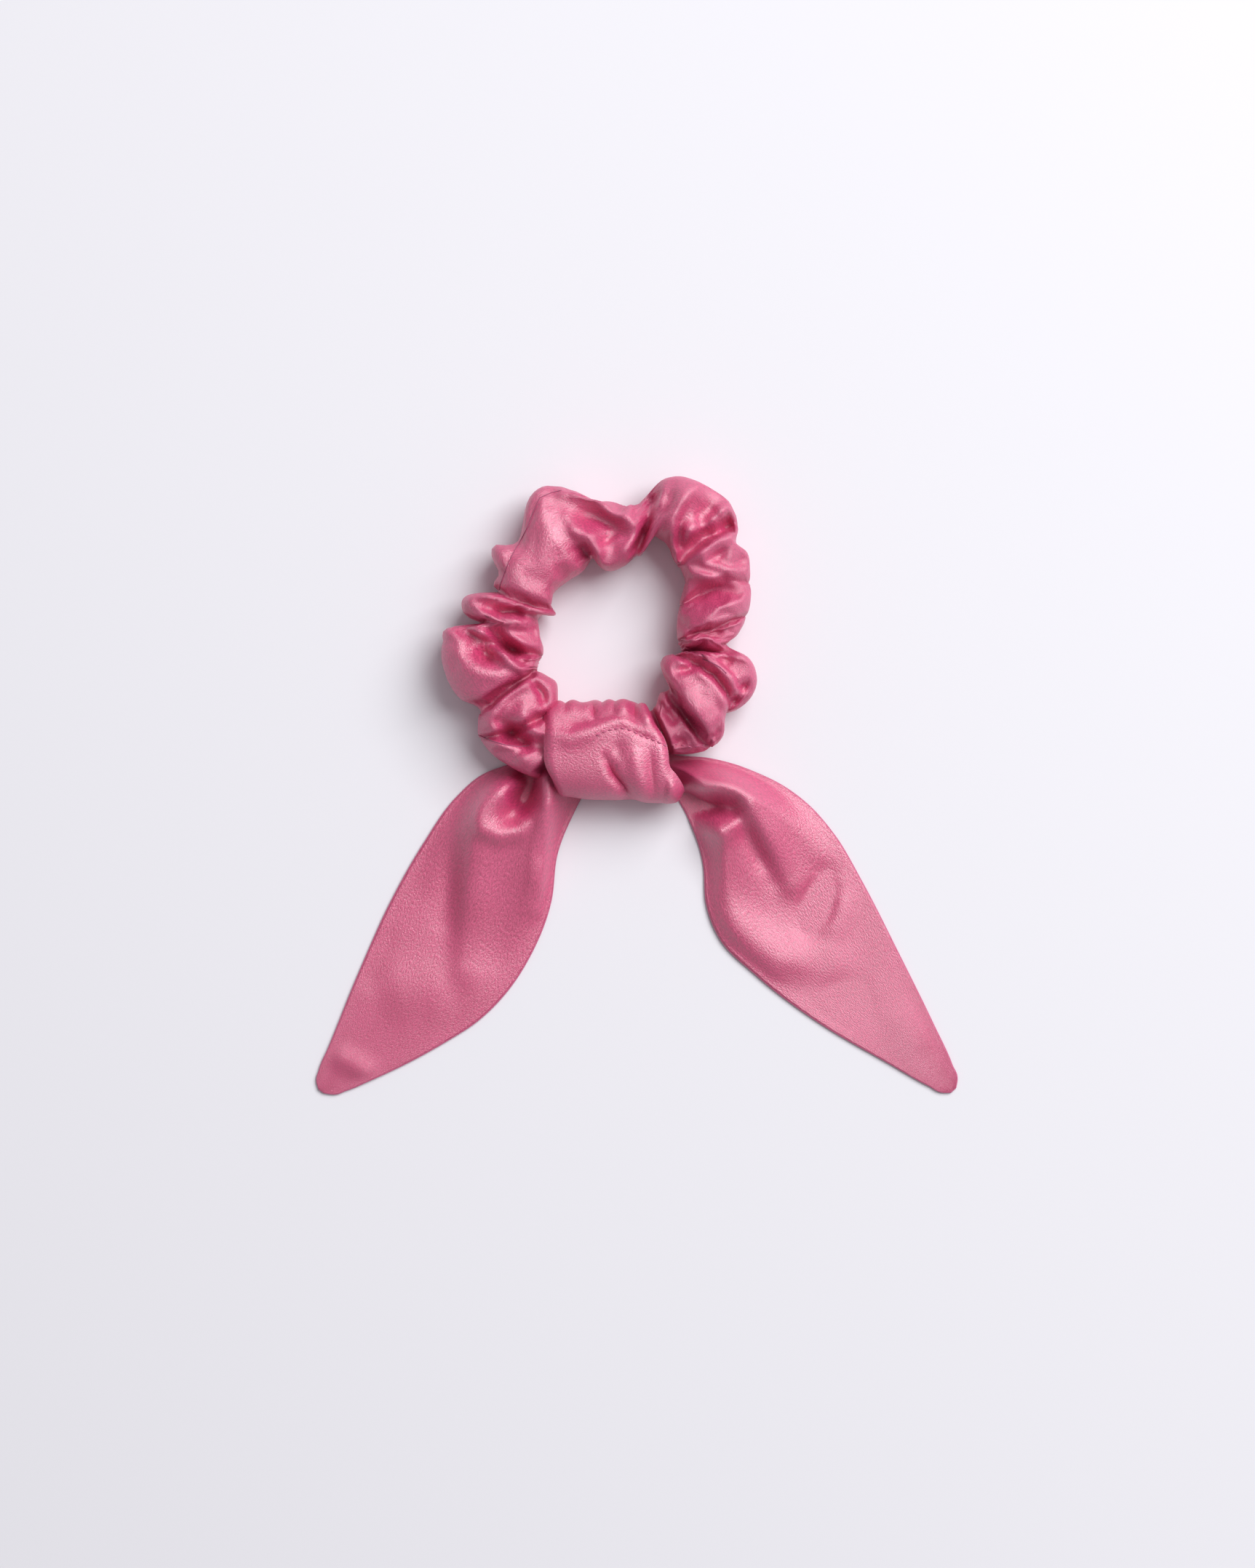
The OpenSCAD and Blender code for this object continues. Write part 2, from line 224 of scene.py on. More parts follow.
# Where the casing's seam shows, as points (x, y) in mm
CASING_SEAMS = [
    [(-13.5, 44), (-16.4, 43.4), (-20.1, 41.6), (-21.7, 38), (-23.9, 32.5), (-27.3, 26.4), (-30.1, 20.3),
     (-32.6, 14)],
    [(-38.9, -30.4), (-35.1, -32.3), (-30.4, -33.7), (-26.3, -34.2), (-23.4, -33.8)],
    [(29.4, -7.4), (32.4, -8.8), (34.6, -10.1), (36.6, -12)],
]


# Where the stitches that close the casing show, right of the knot
CASING_STITCHES = [(21, -33.2), (26, -34.2), (31.5, -33.4)]


def strokes(x, y, folds, spread=1.0):
    """Height at (x, y) of ridges and hollows. Each is a line through points, a height and a half
    width, or the half widths on its left and on its right; it fades towards its ends."""
    total = np.zeros_like(x)
    for points, height, width in folds:
        left, right = width if isinstance(width, tuple) else (width, width)
        whole = sum(math.dist(p, q) for p, q in zip(points, points[1:]))
        far, side, ends, run = np.full_like(x, 1e9), np.zeros_like(x), np.zeros_like(x), 0.0
        for (x0, y0), (x1, y1) in zip(points, points[1:]):
            dx, dy = x1 - x0, y1 - y0
            part = max(math.hypot(dx, dy), 1e-3)
            k = np.clip(((x - x0) * dx + (y - y0) * dy) / part ** 2, 0, 1)
            ox, oy = x - x0 - k * dx, y - y0 - k * dy
            d = np.hypot(ox, oy)
            near = d < far
            side = np.where(near, (dx * oy - dy * ox) / part, side)
            ends = np.where(near, np.minimum(run + k * part, whole - run - k * part), ends)
            far = np.where(near, d, far)
            run += part
        fade = 0.35 + 0.65 * smooth(ends / (0.35 * max(whole, 1e-3)))
        leftness = 0.5 + 0.5 * np.clip(side / np.maximum(far, 1e-6), -1, 1)
        total += height * fade * np.exp(-(far / (spread * (right + (left - right) * leftness))) ** 2)
    return total


def through(x, points):
    """Smooth line through the points, as a height for each x."""
    xs, ys = np.array(points, float).T
    slope = np.gradient(ys, xs)
    i = np.clip(np.searchsorted(xs, x) - 1, 0, len(xs) - 2)
    h = xs[i + 1] - xs[i]
    t = np.clip((x - xs[i]) / h, 0, 1)
    return ((2 * t ** 3 - 3 * t ** 2 + 1) * ys[i] + (t ** 3 - 2 * t ** 2 + t) * h * slope[i]
            + (3 * t ** 2 - 2 * t ** 3) * ys[i + 1] + (t ** 3 - t ** 2) * h * slope[i + 1])


def casing_points(u, v):
    """Points of the casing: u round the ring from the knot, v round its section."""
    n = len(GATHERS)
    cells = np.clip((u * n).astype(int), 0, n - 1)
    t = u * n - cells
    p = smooth(1.5 * np.sin(np.pi * t))
    t = 0.6 * t + 0.2 - 0.2 * np.cos(np.pi * t)
    f = 2 * np.pi * v
    c, s = np.cos(f), np.sin(f)
    creases = np.array(CREASES, float)
    heights = np.array(GATHERS)

    def crease_angle(k):
        o, top, i = creases[k, 0], creases[k, 1], creases[k, 2]
        m = (o + i) / 2
        return m + (o - i) / 2 * c + (top - m) * np.maximum(s, 0) ** 2

    a = crease_angle(cells) * (1 - t) + crease_angle(cells + 1) * t
    near = np.where(t < 0.5, np.maximum(cells - 1, 0), np.minimum(cells + 1, n - 1))
    depth = np.where(t < 0.5, creases[cells, 3], creases[cells + 1, 3])
    high = (heights[cells] + heights[near]) / 2 - 0.3 * depth
    high = (high + (heights[cells] - high) * p) * TOP
    low = (1 - p) * 0.12 * depth * TOP
    out, inn = through(a, OUTER), through(a, INNER)
    mid, half = (out + inn) / 2, (out - inn) / 2
    r = mid + half * np.sign(c) * np.abs(c) ** 0.9
    z = (high + low) / 2 + (high - low) / 2 * np.sign(s) * np.abs(s) ** 0.7
    x = r * np.cos(np.radians(a))
    y = r * np.sin(np.radians(a))
    z = z + 1.45 * strokes(x, y, FOLDS, 1.5) * smooth(s / 0.7)
    return np.stack([x, y, z + 0.3], 1) * MM


WORK_SCALE = 10                           # the cloth solver works in metres, so it gets a big copy


def settle(piece, held, frames, growth, bending, gap=0.5):
    """Lets a piece settle as cloth: it grows a little, buckles, and lies on the table. held(points,
    along) gives how firmly each point is kept, from 0 to 1. The mesh keeps the settled points."""
    scene = bpy.context.scene
    mesh = piece.data
    count = len(mesh.vertices)
    start = np.empty(count * 3)
    mesh.vertices.foreach_get("co", start)
    start = start.reshape(-1, 3)
    along = np.empty(count)
    mesh.attributes["along"].data.foreach_get("value", along)
    hold = piece.vertex_groups.new(name="held")
    for index, weight in enumerate(held(start / MM, along)):
        if weight > 0:
            hold.add([index], float(weight), "REPLACE")
    mesh.vertices.foreach_set("co", (start * WORK_SCALE).ravel())
    mesh.update()

    bm = bmesh.new()
    bmesh.ops.create_grid(bm, x_segments=2, y_segments=2, size=2.0)
    plane = bpy.data.meshes.new("settling_table")
    bm.to_mesh(plane)
    bm.free()
    table = bpy.data.objects.new("settling_table", plane)
    scene.collection.objects.link(table)
    table.modifiers.new("stop", "COLLISION")
    table.collision.thickness_outer = 0.005
    table.collision.cloth_friction = 5

    cloth = piece.modifiers.new("settling", "CLOTH")
    rules = cloth.settings
    rules.quality = 6
    rules.mass = 0.3
    rules.tension_stiffness = rules.compression_stiffness = 15
    rules.shear_stiffness = 5
    rules.bending_model = "ANGULAR"
    rules.bending_stiffness = bending
    rules.tension_damping = rules.compression_damping = rules.shear_damping = 5
    rules.air_damping = 2
    rules.shrink_min = -growth
    rules.vertex_group_mass = "held"
    rules.effector_weights.gravity = 0.3
    contact = cloth.collision_settings
    contact.distance_min = 0.004
    contact.use_self_collision = True
    contact.self_distance_min = gap * MM * WORK_SCALE
    contact.self_friction = 5
    cloth.point_cache.frame_start, cloth.point_cache.frame_end = 1, frames + 1
    for number in range(1, frames + 1):
        scene.frame_set(number)
    settled = piece.evaluated_get(bpy.context.evaluated_depsgraph_get())
    end = np.empty(count * 3)
    settled.data.vertices.foreach_get("co", end)
    piece.modifiers.remove(cloth)
    piece.vertex_groups.clear()
    mesh.vertices.foreach_set("co", end / WORK_SCALE)
    mesh.update()
    scene.frame_set(1)
    bpy.data.objects.remove(table)


def casing_held(points, along):
    """The casing is held under the knot and, more loosely, at each crease between two gathers."""
    knot = np.clip((-22 - points[:, 1]) / 4, 0, 1) * (np.abs(points[:, 0] - 3) < 17)
    place = (along * len(GATHERS)) % 1
    crease = 0.7 * np.exp(-(np.minimum(place, 1 - place) / 0.07) ** 2)
    return np.maximum(knot, crease)


CELLS_ACROSS = 84                         # cells of the casing's grid round its section
CELLS_PER_GATHER = 25                     # and along each gather


def make_casing():
    casing = cloth_grid("casing", CELLS_ACROSS, CELLS_PER_GATHER * len(GATHERS), casing_points, (0.08, 0.38))
    settle(casing, casing_held, frames=5, growth=0.04, bending=6, gap=0.3)
    wall = casing.modifiers.new("one_layer", "SOLIDIFY")
    wall.thickness = 0.3 * MM
    wall.offset = -1
    return casing


# ---------------------------------------------------------------- tails
def tail_frame(joint_name):
    """Root, direction and sideways direction of a tail, in mm, from its hinge."""
    joint = next(j for j in frame["joints"] if j["name"] == joint_name)
    axis = Vector(joint["axis"])
    along = Vector((-axis.y, axis.x, 0))
    root = Vector(joint["pos_m"]) / MM - along * BEND_AT
    return root, along, Vector((-along.y, along.x, 0))


BEND_AT = 22                              # from a tail's root to its hinge, in mm
TAIL_THICK = 0.7                          # two layers of satin, in mm

# Each tail's two edges, as (distance from its root, distance sideways) in mm, and its folds as
# on the casing
LEFT_EDGES = (
    [(-14, -4), (-6, -9), (4, -16), (12, -21), (22, -23.2), (40, -22.6), (60, -19.8), (84, -14.2),
     (108, -7.6), (115, -5.8), (118.6, -4), (119.8, -2.4)],
    [(-14, 6), (-6, 6.4), (4, 8), (18, 12), (30, 19), (48, 24.3), (62, 25.2), (74, 23.4), (84, 19.8),
     (96, 14.6), (108, 8.4), (115, 4.4), (118.6, 1.6), (119.8, -0.6)],
)
LEFT_FOLDS = [
    ([(-24, -34), (-30, -40), (-36.4, -49.5), (-40, -62), (-41.8, -77), (-42.8, -90), (-44, -102)],
     3.8, (8.0, 4.0)),
    ([(-40, -45), (-45.6, -56), (-48, -70), (-50, -88)], -1.0, 3.6),
    ([(-22.6, -38), (-23.8, -46), (-26.4, -52), (-29, -54.6)], -13.0, 3.7),
    ([(-40, -53), (-38, -59.4), (-32.4, -61.6), (-26.6, -60), (-22, -55)], 2.0, (3.0, 2.4)),
    ([(-17.4, -42), (-17.4, -54), (-17.8, -68), (-21, -84)], 3.4, (2.6, 3.4)),
    ([(-19, -38), (-18.6, -46), (-18.6, -51)], 3.4, 2.0),
    ([(-72, -112), (-56, -109), (-44, -110)], 1.4, 9.0),
    ([(-69, -86), (-78, -112)], -0.8, 6.0),
    ([(-86, -128), (-78, -132), (-70, -138)], 1.4, 3.6),
]
RIGHT_EDGES = (
    [(-14, -3), (-6, -4), (2, -5), (12, -7.4), (24, -13), (33, -20), (44, -24.3), (60, -23.5), (84, -18.8),
     (108, -11), (121, -6.6), (125.6, -4.6), (127, -3)],
    [(-14, -1), (-6.4, 3.4), (-0.6, 9), (6.3, 14), (14.3, 18.2), (20, 20.6), (30, 23), (44, 23),
     (60, 19.8), (84, 13.5), (108, 6.8), (121, 2.8), (125.6, 0.8), (127, -1)],
)
RIGHT_FOLDS = [
    ([(18, -45), (25, -46.6), (31, -46.6), (36.6, -45.6), (41.4, -48), (45, -53), (50, -63), (57, -76)],
     3.6, (5.5, 3.6)),
    ([(21, -48.6), (27, -51), (33, -52.4), (38.4, -52.6)], -12.0, 3.2),
    ([(40, -53), (45, -63), (51, -75)], -2.0, 3.4),
    ([(24, -56.4), (29.4, -60.4), (36, -60.2), (41, -56.6), (43, -51.5)], 2.2, (2.2, 3.2)),
    ([(67.4, -74), (66.2, -81), (63, -90)], -3.0, 4.2),
    ([(72, -76), (72, -85), (68, -95)], 0.9, 4.4),
    ([(28, -82), (40, -90), (53, -99), (68, -102)], 2.6, (7.0, 6.0)),
    ([(64, -109), (84, -117)], -1.0, 8.0),
    ([(86, -112), (100, -131)], 1.0, 6.0),
]


def tail_points(u, v, side, edges, folds, length):
    """Points of a tail: u from its root to its tip, v across it."""
    root, along, across = tail_frame(side + "_tail_lift")
    start = -14                           # the root runs on under the ring and the knot
    reach = start + (length - start) * (1 - (1 - u) ** 1.25)
    low, high = through(reach, edges[0]), through(reach, edges[1])
    place = low + (high - low) * v
    edge = np.minimum(place - low, high - place)
    lift = smooth((reach + 12) / 14) * (1 - smooth((reach - 4) / 52))
    x = root.x + along.x * reach + across.x * place
    y = root.y + along.y * reach + across.y * place
    raised = strokes(x, y, folds) * (0.2 + 0.8 * smooth(edge / 5)) * smooth((length - reach) / 8)
    z = np.maximum(0.75 + 10.5 * lift * smooth(edge / 9) + raised, 0.45)
    return np.stack([x, y, z], 1) * MM


def make_tail(side, edges, folds):
    length = edges[0][-1][0]
    tail = cloth_grid(side + "_tail", 64, 150,
                      lambda u, v: tail_points(u, v, side, edges, folds, length),
                      (SCARF_WIDE, length * MM))
    wall = tail.modifiers.new("two_layers", "SOLIDIFY")
    wall.thickness = TAIL_THICK * MM
    wall.offset = 0
    return tail


def make_tail_seam(tail, side):
    """The seam where a tail's two layers meet, along both of its long edges and round its tip."""
    bm = bmesh.new()
    bm.from_mesh(tail.data)
    edge = next(e for e in bm.edges if e.is_boundary)
    loop, vert = [], edge.verts[0]
    while True:
        loop.append(vert.co / MM)
        vert = edge.other_vert(vert)
        if (vert.co / MM - loop[0]).length < 1e-6:
            break
        edge = next(e for e in vert.link_edges if e.is_boundary and e is not edge)
    bm.free()
    return tube(side + "_tail_seam", [[Vector(p) for p in loop] + [Vector(loop[0])]], 0.34)


# ---------------------------------------------------------------- knot
# Where the stitches that close the scarf run over the knot, and the folds beside them
KNOT_STITCHES = [(-2.9, -30.8), (0.5, -29.2), (4.4, -28.4), (7.8, -29.2), (10.6, -30.8), (14.8, -32.2),
                 (18.4, -34)]
KNOT_FOLDS = [
    ([(-17, -30), (-11, -31.5), (-4, -29.4), (3, -27), (10, -29)], 1.6, (1.4, 2.6)),
    ([(-13, -27), (-4, -25.6)], -1.2, 1.8),
    ([(-4, -20), (-3.4, -25.6)], -2.6, 1.5),
    ([(4, -20), (5.4, -26)], 2.0, 1.8),
    ([(8.4, -20), (8.6, -26)], -2.4, 1.4),
    ([(12, -20), (12.8, -29)], 1.6, 1.4),
    ([(3.4, -32), (3.4, -38)], -0.9, 2.2),
    ([(0, -38), (2.4, -43), (6, -47.6), (8.6, -51)], -3.4, (1.8, 1.4)),
    ([(8.4, -33), (9.4, -41), (12.4, -51)], 1.3, 2.4),
    ([(13.4, -34), (13.8, -42), (15, -51)], -1.0, 1.6),
    ([(18.4, -32), (20.4, -42), (18, -53)], 1.3, (3.0, 0.7)),
    (KNOT_STITCHES, -0.7, 0.9),
]


def knot_points(u, v):
    """Points of the band over the knot: u from its left end to its right, v round it."""
    f = 2 * np.pi * v
    c, s = np.cos(f), np.sin(f)
    middle, half = -35.2, 13.6            # the knot's middle along Y and half its size there
    front = -c                            # 1 towards the tails, -1 in the opening
    left = -18.4 + 3.2 * smooth((front - 0.1) / 0.9)
    right = 13.0 + 6.2 * smooth((front + 1) / 1.2) + 4.2 * smooth((front - 0.2) / 0.8)
    x = left + (right - left) * u
    ends = np.minimum(u, 1 - u) * (right - left)
    tuck = 1 - smooth(ends / 3.0)
    bulge = 1 + 0.05 * np.sin(np.pi * u) - 0.20 * tuck ** 2
    deep = 1 + 0.09 * smooth((x - 8) / 8) * smooth(front) - 0.04 * smooth((-4 - x) / 8) * smooth(front)
    y = middle + half * bulge * deep * np.sign(c) * np.abs(c) ** 0.8
    z = 10.6 + 10.2 * bulge * np.sign(s) * np.abs(s) ** 0.75
    raised = strokes(x, y, KNOT_FOLDS) * smooth((s + 0.2) / 0.4) * (1 - 0.6 * tuck)
    y = y - raised * front * 0.6
    z = z + raised * np.maximum(s, 0.0)
    gather = 0.7 * np.sin(x * 1.15 + 0.8 * np.sin(x * 0.5)) * smooth(-front - 0.4) * smooth(ends / 4)
    y = y + gather
    return np.stack([x, y, np.maximum(z, 0.5)], 1) * MM


def make_knot_band():
    band = cloth_grid("knot_band", 120, 96, knot_points, (0.09, 0.042))
    wall = band.modifiers.new("two_layers", "SOLIDIFY")
    wall.thickness = 1.0 * MM
    wall.offset = -1
    return band


# ---------------------------------------------------------------- elastic, seams and stitches
def tube(name, lines, radius, sides=8):
    """Round threads along lines of points in mm, closed at both ends; each keeps its length as UV."""
    bm = bmesh.new()
    uv = bm.loops.layers.uv.new("cloth")
    for line in lines:
        line = [Vector(p) for p in line]
        closed = (line[0] - line[-1]).length < 1e-6
        if closed:
            line = line[:-1]
        rings, count = [], len(line)
        for i, p in enumerate(line):
            ahead = line[(i + 1) % count] if closed or i + 1 < count else p
            behind = line[i - 1] if closed or i else p
            way = (ahead - behind).normalized()
            side = way.cross(Vector((0, 0, 1))).normalized()
            up = side.cross(way)
            rings.append([bm.verts.new((p + radius * (math.cos(k * math.tau / sides) * side
                          + math.sin(k * math.tau / sides) * up)) * MM) for k in range(sides)])
        reach = 0.0
        for i in range(count if closed else count - 1):
            step = (line[(i + 1) % count] - line[i]).length
            for k in range(sides):
                corners = ((i, k), (i, k + 1), ((i + 1) % count, k + 1), ((i + 1) % count, k))
                face = bm.faces.new([rings[m][n % sides] for m, n in corners])
                for loop, (m, n) in zip(face.loops, ((0, k), (0, k + 1), (1, k + 1), (1, k))):
                    loop[uv].uv = ((reach + m * step) * MM, n / sides * math.tau * radius * MM)
            reach += step
        if not closed:
            bm.faces.new(reversed(rings[0]))
            bm.faces.new(rings[-1])
    bmesh.ops.recalc_face_normals(bm, faces=bm.faces)
    mesh = bpy.data.meshes.new(name)
    bm.to_mesh(mesh)
    bm.free()
    mesh.polygons.foreach_set("use_smooth", [True] * len(mesh.polygons))
    piece = bpy.data.objects.new(name, mesh)
    bpy.context.scene.collection.objects.link(piece)
    return piece


def lay_on(piece, points, sink=0.0, step=0.5):
    """Points (x, y) in mm, made close together and laid on the top of a piece; sink goes into it."""
    shape = BVHTree.FromObject(piece, bpy.context.evaluated_depsgraph_get())
    line = []
    for (x0, y0), (x1, y1) in zip(points, points[1:]):
        parts = max(1, round(math.hypot(x1 - x0, y1 - y0) / step))
        line += [(x0 + (x1 - x0) * k / parts, y0 + (y1 - y0) * k / parts) for k in range(parts)]
    line.append(points[-1])
    laid = []
    for x, y in line:
        hit = shape.ray_cast(Vector((x, y, 60)) * MM, Vector((0, 0, -1)))[0]
        if hit:
            laid.append(Vector((x, y, hit.z / MM - sink)))
    return laid


def stitches(piece, points, length, gap, radius):
    """Sewn stitches on a piece along a line: short threads that dip in at both ends."""
    line = lay_on(piece, points, step=0.2)
    reach = [0.0]
    for p, q in zip(line, line[1:]):
        reach.append(reach[-1] + (q - p).length)
    made, at = [], 0.0
    while at + length <= reach[-1]:
        part = [p for p, r in zip(line, reach) if at <= r <= at + length]
        if len(part) > 3:
            last = len(part) - 1
            made.append([p + Vector((0, 0, radius * (1.6 * math.sin(math.pi * i / last) - 0.9)))
                         for i, p in enumerate(part)])
        at += length + gap
    return made


def elastic_points(u, v):
    """Flat elastic, wide side upright, along the middle of the casing."""
    angle = u * 360 - 90
    middle = (through(angle, OUTER) + through(angle, INNER)) / 2
    f = 2 * np.pi * v
    c, s = np.cos(f), np.sin(f)
    r = middle + 0.5 * np.sign(c) * np.abs(c) ** 0.5
    z = 7.2 + 3 * np.sign(s) * np.abs(s) ** 0.4
    return np.stack([r * np.cos(np.radians(angle)), r * np.sin(np.radians(angle)), z], 1) * MM


# ---------------------------------------------------------------- materials
def node(tree, kind, links=(), **settings):
    """Adds a node, sets its settings and inputs, and links (input, from node, output)."""
    made = tree.nodes.new(kind)
    for key, value in settings.items():
        if hasattr(made, key):
            setattr(made, key, value)
        else:
            made.inputs[key.replace("_", " ")].default_value = value
    for target, source, output in links:
        tree.links.new(source.outputs[output], made.inputs[target])
    return made


GRAIN = 0.52                              # mm; real satin yarns are about 0.1 mm, drawn coarser to be seen


def satin(name, light="#dc447e", dark="#c8346a"):
    """Polyester charmeuse satin: long smooth floats give a broad white sheen over a deep clean
    colour, and their uneven lengths a fine sparkle."""
    material = bpy.data.materials.new(name)
    material.use_nodes = True
    tree = material.node_tree
    shader = tree.nodes["Principled BSDF"]
    shader.inputs["Metallic"].default_value = 0.05
    shader.inputs["IOR"].default_value = 1.9
    shader.inputs["Specular IOR Level"].default_value = 1.0
    shader.inputs["Anisotropic"].default_value = 0.35
    uv = node(tree, "ShaderNodeUVMap", uv_map="cloth")
    floats = node(tree, "ShaderNodeMapping", [("Vector", uv, "UV")],
                  Scale=(1000 / GRAIN / 1.5, 1000 / GRAIN, 1))
    grain = node(tree, "ShaderNodeTexNoise", [("Vector", floats, "Vector")],
                 Scale=1.0, Detail=3.0, Roughness=0.7)
    cloud = node(tree, "ShaderNodeTexNoise", [("Vector", uv, "UV")], Scale=60.0, Detail=2.0)
    colour = node(tree, "ShaderNodeMix", [("Factor", cloud, "Fac")], data_type="RGBA")
    colour.inputs[6].default_value, colour.inputs[7].default_value = linear(dark), linear(light)
    speck = node(tree, "ShaderNodeMapRange", [("Value", grain, "Fac")])
    speck.inputs["From Min"].default_value, speck.inputs["From Max"].default_value = 0.25, 0.75
    speck.inputs["To Min"].default_value, speck.inputs["To Max"].default_value = 0.58, 1.42
    mottled = node(tree, "ShaderNodeVectorMath", [(0, colour, 2), (1, speck, "Result")],
                   operation="MULTIPLY")
    tree.links.new(mottled.outputs["Vector"], shader.inputs["Base Color"])
    gloss = node(tree, "ShaderNodeMapRange", [("Value", grain, "Fac")])
    gloss.inputs["From Min"].default_value, gloss.inputs["From Max"].default_value = 0.3, 0.7
    gloss.inputs["To Min"].default_value, gloss.inputs["To Max"].default_value = 0.32, 0.48
    tree.links.new(gloss.outputs["Result"], shader.inputs["Roughness"])
    bump = node(tree, "ShaderNodeBump", [("Height", grain, "Fac")], Strength=0.6, Distance=0.5 * MM)
    tree.links.new(bump.outputs["Normal"], shader.inputs["Normal"])
    tangent = node(tree, "ShaderNodeTangent", direction_type="UV_MAP", uv_map="cloth")
    tree.links.new(tangent.outputs["Tangent"], shader.inputs["Tangent"])
    return material


def thread(name, light="#dc6f95", dark="#b34a75"):
    """Twisted polyester sewing thread: a dull sheen with slanting plies."""
    material = bpy.data.materials.new(name)
    material.use_nodes = True
    tree = material.node_tree
    shader = tree.nodes["Principled BSDF"]
    shader.inputs["Roughness"].default_value = 0.55
    shader.inputs["IOR"].default_value = 1.55
    shader.inputs["Sheen Weight"].default_value = 0.3
    uv = node(tree, "ShaderNodeUVMap", uv_map="cloth")
    turned = node(tree, "ShaderNodeMapping", [("Vector", uv, "UV")],
                  Rotation=(0, 0, 0.6), Scale=(2600, 2600, 1))
    plies = node(tree, "ShaderNodeTexWave", [("Vector", turned, "Vector")], Scale=0.35, Distortion=0.6)
    shades = node(tree, "ShaderNodeMix", [("Factor", plies, "Fac")], data_type="RGBA")
    shades.inputs[6].default_value, shades.inputs[7].default_value = linear(dark), linear(light)
    tree.links.new(shades.outputs[2], shader.inputs["Base Color"])
    bump = node(tree, "ShaderNodeBump", [("Height", plies, "Fac")], Strength=0.5, Distance=0.05 * MM)
    tree.links.new(bump.outputs["Normal"], shader.inputs["Normal"])
    return material


def braid(name):
    """Braided polyester elastic: matt off-white with ribs along it and slanting yarns across."""
    material = bpy.data.materials.new(name)
    material.use_nodes = True
    tree = material.node_tree
    shader = tree.nodes["Principled BSDF"]
    shader.inputs["Roughness"].default_value = 0.8
    uv = node(tree, "ShaderNodeUVMap", uv_map="cloth")
    ribs = node(tree, "ShaderNodeMapping", [("Vector", uv, "UV")],
                Rotation=(0, 0, math.pi / 2), Scale=(1000, 1000, 1))
    rib = node(tree, "ShaderNodeTexWave", [("Vector", ribs, "Vector")], Scale=0.45, Distortion=0.5)
    yarns = node(tree, "ShaderNodeMapping", [("Vector", uv, "UV")],
                 Rotation=(0, 0, 0.7), Scale=(1000, 1000, 1))
    yarn = node(tree, "ShaderNodeTexWave", [("Vector", yarns, "Vector")], Scale=0.9, Distortion=0.3)
    both = node(tree, "ShaderNodeMath", [(0, rib, "Fac"), (1, yarn, "Fac")], operation="MULTIPLY")
    shades = node(tree, "ShaderNodeMix", [("Factor", both, "Value")], data_type="RGBA")
    shades.inputs[6].default_value, shades.inputs[7].default_value = linear("#cfc9c6"), linear("#f2eeea")
    tree.links.new(shades.outputs[2], shader.inputs["Base Color"])
    bump = node(tree, "ShaderNodeBump", [("Height", both, "Value")], Strength=0.6, Distance=0.2 * MM)
    tree.links.new(bump.outputs["Normal"], shader.inputs["Normal"])
    return material


# ---------------------------------------------------------------- stage, light and camera
def make_stage():
    bm = bmesh.new()
    bmesh.ops.create_grid(bm, x_segments=1, y_segments=1, size=2.0)
    mesh = bpy.data.meshes.new("table_top")
    bm.to_mesh(mesh)
    bm.free()
    floor = bpy.data.objects.new("table_top", mesh)
    bpy.context.scene.collection.objects.link(floor)
    material = bpy.data.materials.new("pale_table")
    material.use_nodes = True
    shader = material.node_tree.nodes["Principled BSDF"]
    shader.inputs["Base Color"].default_value = linear("#eeedf3")
    shader.inputs["Roughness"].default_value = 0.8
    mesh.materials.append(material)


def make_light():
    world = bpy.data.worlds.new("room")
    world.use_nodes = True
    world.node_tree.nodes["Background"].inputs["Color"].default_value = linear("#f3f1f4")
    world.node_tree.nodes["Background"].inputs["Strength"].default_value = 0.34
    bpy.context.scene.world = world
    lamp = bpy.data.lights.new("window", "AREA")
    lamp.shape = "RECTANGLE"
    lamp.size, lamp.size_y = 1.8, 1.8
    lamp.energy = 66
    obj = bpy.data.objects.new("window", lamp)
    obj.location = (1.15, 1.05, 1.9)
    obj.rotation_euler = (Vector((0, -0.04, 0)) - obj.location).to_track_quat("-Z", "Y").to_euler()
    bpy.context.scene.collection.objects.link(obj)


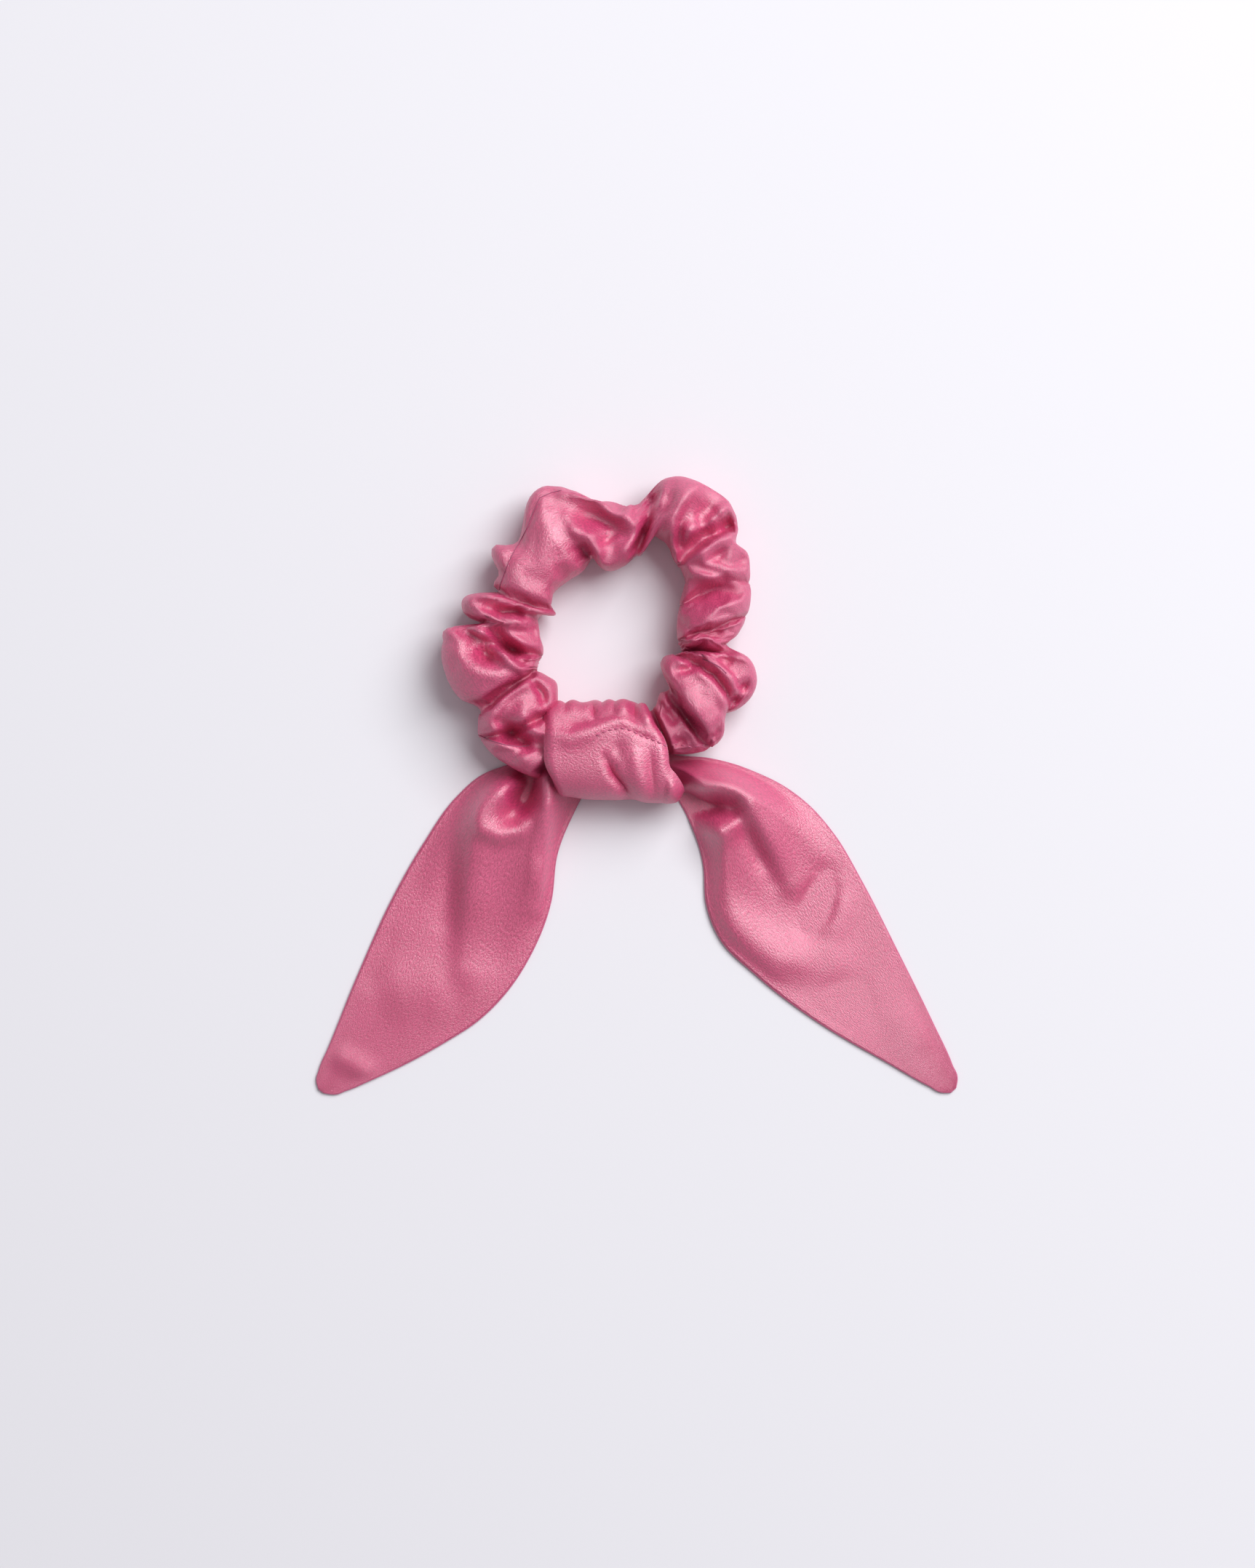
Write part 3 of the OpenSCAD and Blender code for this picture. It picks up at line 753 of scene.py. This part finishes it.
def make_camera():
    data = bpy.data.cameras.new("camera")
    data.lens = 85
    data.sensor_width = 36
    obj = bpy.data.objects.new("camera", data)
    width = 0.485                                        # the picture's long side on the table
    obj.location = (0.0066, -0.0455, width * data.lens / data.sensor_width)
    bpy.context.scene.collection.objects.link(obj)
    bpy.context.scene.camera = obj


make_camera()
make_stage()
make_light()
bpy.context.scene.view_settings.view_transform = "Standard"
ROSE_SATIN = satin("rose_satin")
ROSE_THREAD = thread("rose_thread")
# Seam thread coloured darker than the stitches: the thread's own colour with painted shade of the crease it
# lies in
SEAM_THREAD_PAINTED_SHADE = thread("seam_thread_painted_shade", "#b04a72", "#8e3358")
WHITE_ELASTIC = braid("white_elastic")


def on_ring(piece, material):
    """A piece of the ring: it gets its material, and its placing is baked into its points."""
    piece.data.materials.append(material)
    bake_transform(piece)


casing = make_casing()
seams = tube("casing_seam", [lay_on(casing, line, sink=0.05) for line in CASING_SEAMS], 0.22)
closing = tube("casing_stitches", stitches(casing, CASING_STITCHES, 1.5, 0.9, 0.22), 0.22)
elastic = cloth_grid("elastic", 24, 240, elastic_points, (0.0144, 0.22))
on_ring(casing, ROSE_SATIN)
# the casing's seams get the darker thread, whose colour carries painted crease shade
on_ring(seams, SEAM_THREAD_PAINTED_SHADE)
on_ring(closing, ROSE_THREAD)
on_ring(elastic, WHITE_ELASTIC)
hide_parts("casing_left", "casing_right")
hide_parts("casing_left_seam_thread", "casing_right_seam_thread")
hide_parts("casing_closing_stitches")
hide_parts("elastic_band", "elastic_bartack")

for side, edges, folds in (("left", LEFT_EDGES, LEFT_FOLDS), ("right", RIGHT_EDGES, RIGHT_FOLDS)):
    tail = make_tail(side, edges, folds)
    hem = make_tail_seam(tail, side)
    root, along, across = tail_frame(side + "_tail_lift")
    for piece, material, name in ((tail, ROSE_SATIN, "satin"), (hem, ROSE_THREAD, "thread")):
        piece.data.materials.append(material)
        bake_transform(piece)
    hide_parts(side + "_tail_throat", side + "_tail_face", side + "_tail_back")
    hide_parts(side + "_tail_edge_thread")

band = make_knot_band()
sewn = tube("knot_stitches", stitches(band, KNOT_STITCHES, 1.4, 0.6, 0.3), 0.3)
for piece, material, name in ((band, ROSE_SATIN, "satin"), (sewn, ROSE_THREAD, "thread")):
    piece.data.materials.append(material)
    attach(piece, "knot")
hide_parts("knot_front_band", "knot_back_loop", "knot_cross_strand")
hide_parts("knot_closing_stitches")
